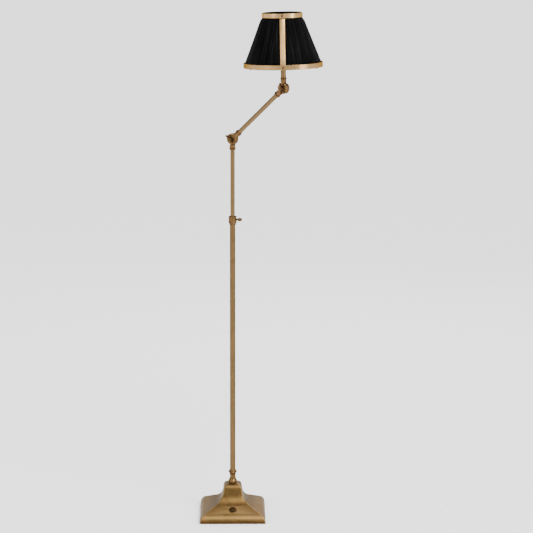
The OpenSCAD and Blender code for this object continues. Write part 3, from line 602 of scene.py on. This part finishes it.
def make_base():
    outer = [rounded_square(w, min(RIDGE_R, w), z) for w, z in base_profile(0.0)]
    inner = [rounded_square(w, RIDGE_R - SHELL_WALL, z) for w, z in base_profile(SHELL_WALL)]
    rings = outer + [round_ring(outer[-1], NIPPLE_HOLE_R, z) for z in (BASE_H, BASE_H - SHELL_WALL)]
    rings += inner[::-1] + [outer[0]]
    points, faces = loft(rings)
    obj = new_piece("base_body", points, faces, BASE)
    weld = bmesh.new()
    weld.from_mesh(obj.data)
    bmesh.ops.remove_doubles(weld, verts=weld.verts, dist=SAME_POINT)
    bmesh.ops.recalc_face_normals(weld, faces=weld.faces)
    weld.to_mesh(obj.data)
    weld.free()
    low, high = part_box("foot_switch_bezel")
    middle = (low + high) / 2
    at_switch = Matrix.Translation((0.0, middle.y, middle.z)) @ Matrix.Rotation(SKIRT_SLOPE, 4, "X")
    low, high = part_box("cord_grommet")
    at_inlet = (Matrix.Translation((0.0, BASE_HALF * MM, (low.z + high.z) / 2))
                @ Matrix.Rotation(math.pi / 2, 4, "X"))
    bored(obj, [rod("switch_bore", SWITCH_BORE_R * MM, SWITCH_BORE_LONG * MM, at_switch),
                rod("inlet_bore", INLET_BORE_R * MM, INLET_BORE_LONG * MM, at_inlet)])
    even_normals(obj, 60)
    for face in obj.data.polygons:
        face.use_smooth = True
    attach(obj, "stand")
    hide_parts("base_shell")


make_base()

# ---------------------------------------------------------------- felt under the base


def make_felt():
    low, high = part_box("base_felt")
    half, top = high.x / MM, high.z / MM
    edge = [(1.2, 2.0, 0.0), (0.4, 2.6, 0.15), (0.0, 3.0, 0.6), (0.0, 3.0, top - 0.3), (0.3, 2.8, top)]
    rings = [rounded_square(half - inset, radius, z) for inset, radius, z in edge]
    points, faces = loft(rings)
    count = len(rings[0])
    faces.append(tuple(range(count - 1, -1, -1)))
    faces.append(tuple(range(len(points) - count, len(points))))
    obj = new_piece("felt_pad", points, faces, FELT)
    outward(obj)
    even_normals(obj, 50)
    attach(obj, "stand")
    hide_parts("base_felt")


make_felt()

# ---------------------------------------------------------------- shade

SHADE = HEAD @ Matrix.Rotation(YAW, 4, "Z")

# Each cloth's outer line from the top ring to the bottom ring, as (radius, height) in mm
COVER_LINE = [(54.45, 211.9), (54.45, 199.2), (58.05, 194.6), (106.9, 69.0)]
LINING_LINE = [(54.45, 211.7), (54.45, 199.2), (58.05, 194.6), (106.7, 69.4)]
COVER_IN = 0.78
LINING_IN = 1.86
HEIGHTS = 40
FOLDS = 100
PER_FOLD = 12
FOLD_DEPTH = 0.75
FOLD_WANDER = 0.8
STRAP_ANGLES = [math.radians(a - 1.8) for a in (-90.0, 30.0, 150.0)]
STRAP_HALF = 9.0
BULGE = 1.9
BULGE_RUN = 9.0
# Shares of the cloth's height: held by the top ring, free after a short rise, held by the bottom ring
HELD_TOP, RISE_TOP = 0.115, 0.05
HELD_LOW, RISE_LOW = 0.985, 0.03
SILK_T = 0.34
LINING_COLUMNS = 240
LINING_T = 0.22


def line_at(line, t):
    """(radius, height) at share t of a broken line's length."""
    runs = [math.dist(line[i], line[i + 1]) for i in range(len(line) - 1)]
    left = t * sum(runs)
    for i, run in enumerate(runs):
        if left <= run or i == len(runs) - 1:
            share = min(1.0, left / run)
            (r0, z0), (r1, z1) = line[i], line[i + 1]
            return r0 + (r1 - r0) * share, z0 + (z1 - z0) * share
        left -= run


def line_length(line):
    return sum(math.dist(line[i], line[i + 1]) for i in range(len(line) - 1))


def sheet_round(name, line, columns, radius_of, angle_of, mat):
    """A closed round sheet: rows down the line, columns round it, with flat coordinates in metres."""
    long = line_length(line)
    points, faces, flat = [], [], []
    for row in range(HEIGHTS + 1):
        t = row / HEIGHTS
        r0, z0 = line_at(line, t)
        for col in range(columns):
            a = angle_of(col, t)
            r = radius_of(col, t, r0)
            points.append(SHADE @ (Vector((r * math.cos(a), r * math.sin(a), z0)) * MM))
    reach = [0.0]
    row = HEIGHTS // 2
    for col in range(columns):
        a, b = points[row * columns + col], points[row * columns + (col + 1) % columns]
        reach.append(reach[-1] + (b - a).length)
    for row in range(HEIGHTS):
        for col in range(columns):
            nxt = (col + 1) % columns
            faces.append((row * columns + col, (row + 1) * columns + col, (row + 1) * columns + nxt,
                          row * columns + nxt))
            v0, v1 = row / HEIGHTS * long * MM, (row + 1) / HEIGHTS * long * MM
            flat += [(reach[col], v0), (reach[col], v1), (reach[col + 1], v1), (reach[col + 1], v0)]
    obj = new_piece(name, points, faces, mat)
    layer = obj.data.uv_layers.new(name="flat")
    for i, uv in enumerate(flat):
        layer.data[i].uv = uv
    return obj


def make_cover():
    rng = random.Random(7)
    widths = [rng.uniform(0.70, 1.35) for _ in range(FOLDS)]
    total = sum(widths)
    starts = [0.0]
    for width in widths:
        starts.append(starts[-1] + width / total * 2 * math.pi)
    depths = [rng.uniform(0.62, 1.0) for _ in range(FOLDS)]

    def valley(i, t):
        """Where fold i begins: the valleys wander a little on their way down."""
        lap, k = divmod(i, FOLDS)
        slow = noise.noise(Vector((k * 1.73, t * 1.9, 0.31)))
        quick = noise.noise(Vector((k * 0.61, t * 5.0, 4.2)))
        stray = slow * 0.55 + quick * 0.2
        return lap * 2 * math.pi + starts[k] + stray * 2 * math.pi / FOLDS * FOLD_WANDER

    def angle_of(col, t):
        fold, step = divmod(col, PER_FOLD)
        a0, a1 = valley(fold, t), valley(fold + 1, t)
        return a0 + (a1 - a0) * step / PER_FOLD

    def radius_of(col, t, r0):
        """Round crests between sharp valleys, pressed flatter in the top ring."""
        fold, step = divmod(col, PER_FOLD)
        crest = 2.0 * abs(math.sin(math.pi * (step / PER_FOLD))) ** 0.75 - 1.0
        depth = depths[fold] * (1.0 + 0.28 * noise.noise(Vector((fold * 0.93 + 7.0, t * 3.1, 1.7))))
        pressed = 0.55 + 0.45 * min(1.0, t / 0.14)
        return r0 - COVER_IN + FOLD_DEPTH * min(1.0, depth) * pressed * crest + bulge(angle_of(col, t), t, r0)

    def bulge(a, t, r0):
        """The cloth stands out between the straps, and is held down under them and in the rings."""
        off = min(abs((a - b + math.pi) % (2 * math.pi) - math.pi) for b in STRAP_ANGLES) * r0
        side = min(1.0, max(0.0, (off - STRAP_HALF) / BULGE_RUN))
        side = side * side * (3.0 - 2.0 * side)
        high = min(1.0, max(0.0, (t - HELD_TOP) / RISE_TOP))
        low = min(1.0, max(0.0, (HELD_LOW - t) / RISE_LOW))
        return BULGE * side * (high * low)

    obj = sheet_round("shade_pleats", COVER_LINE, FOLDS * PER_FOLD, radius_of, angle_of, SILK)
    thicken(obj, SILK_T)
    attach(obj, "head")
    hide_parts("shade_cover")


def make_lining():
    rng = random.Random(11)
    offsets = [rng.uniform(-0.5, 0.5) for _ in range(LINING_COLUMNS)]

    def angle_of(col, t):
        return 2 * math.pi * col / LINING_COLUMNS

    def radius_of(col, t, r0):
        a = angle_of(col, t)
        soft = noise.noise(Vector((math.cos(a) * 6.0, math.sin(a) * 6.0, t * 1.2)))
        return r0 - LINING_IN + 0.07 * soft + 0.03 * offsets[col]

    obj = sheet_round("shade_lining_cloth", LINING_LINE, LINING_COLUMNS, radius_of, angle_of, LINING)
    thicken(obj, LINING_T)
    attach(obj, "head")
    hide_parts("shade_lining")


make_cover()
make_lining()

# ---------------------------------------------------------------- stage and light


def make_floor():
    m = Mat("stage_paper")
    tooth = m.noise(m.place(), 35.0, 4.0)
    m.surface(m.ramp(tooth, [(0.3, (0.86, 0.86, 0.855)), (0.7, (0.90, 0.90, 0.895))]),
              m.span(tooth, 0.3, 0.7, 0.85, 0.95))
    far = 60.0
    floor = new_piece("floor", [(-far, -far, 0), (far, -far, 0), (far, far, 0), (-far, far, 0)],
                      [(0, 1, 2, 3)], m.mat, False)


def area(name, at, towards, size, watts, colour=(1.0, 1.0, 1.0)):
    data = bpy.data.lights.new(name, "AREA")
    data.shape = "RECTANGLE"
    data.size, data.size_y = size
    data.energy = watts
    data.color = colour
    lamp = bpy.data.objects.new(name, data)
    lamp.location = at
    lamp.rotation_euler = (Vector(towards) - Vector(at)).to_track_quat("-Z", "Y").to_euler()
    bpy.context.scene.collection.objects.link(lamp)


def sun(name, heading, strength, spread):
    data = bpy.data.lights.new(name, "SUN")
    data.energy = strength
    data.angle = spread
    lamp = bpy.data.objects.new(name, data)
    lamp.rotation_euler = Vector(heading).to_track_quat("-Z", "Y").to_euler()
    bpy.context.scene.collection.objects.link(lamp)


def make_world():
    """A pale studio: bright low all round and brightest behind the lamp, dimmer overhead."""
    world = bpy.data.worlds.new("studio")
    world.use_nodes = True
    tree = world.node_tree
    tree.nodes.clear()
    out = tree.nodes.new("ShaderNodeOutputWorld")
    sky = tree.nodes.new("ShaderNodeBackground")
    coords = tree.nodes.new("ShaderNodeTexCoord")
    split = tree.nodes.new("ShaderNodeSeparateXYZ")
    rise = tree.nodes.new("ShaderNodeValToRGB")
    behind = tree.nodes.new("ShaderNodeMapRange")
    both = tree.nodes.new("ShaderNodeMath")
    both.operation = "MULTIPLY"
    for element, (at, value) in zip(
            [rise.color_ramp.elements[0], rise.color_ramp.elements[1],
             rise.color_ramp.elements.new(0.35), rise.color_ramp.elements.new(0.70)],
            [(0.0, 1.0), (1.0, 0.50), (0.35, 0.95), (0.70, 0.55)]):
        element.position = at
        element.color = (value, value, value, 1.0)
    for key, number in (("From Min", -1.0), ("From Max", 1.0), ("To Min", 1.0), ("To Max", 1.95)):
        behind.inputs[key].default_value = number
    tree.links.new(coords.outputs["Generated"], split.inputs[0])
    tree.links.new(split.outputs["Z"], rise.inputs[0])
    tree.links.new(split.outputs["Y"], behind.inputs["Value"])
    tree.links.new(rise.outputs["Color"], both.inputs[0])
    tree.links.new(behind.outputs[0], both.inputs[1])
    tree.links.new(both.outputs[0], sky.inputs["Strength"])
    tree.links.new(sky.outputs[0], out.inputs["Surface"])
    bpy.context.scene.world = world


make_floor()
make_world()
MID_LAMP = (0.0, 0.0, 0.9)
sun("daylight", (-0.35, 0.55, -0.76), 6.0, math.radians(35.0))
area("key_softbox", (-2.6, -2.4, 2.5), MID_LAMP, (1.2, 2.0), 75.0, (1.0, 0.985, 0.96))
area("fill_softbox", (2.8, -1.8, 1.9), MID_LAMP, (1.2, 2.0), 50.0, (0.97, 0.985, 1.0))
area("back_softbox", (0.9, 2.6, 2.4), MID_LAMP, (1.6, 1.2), 30.0)
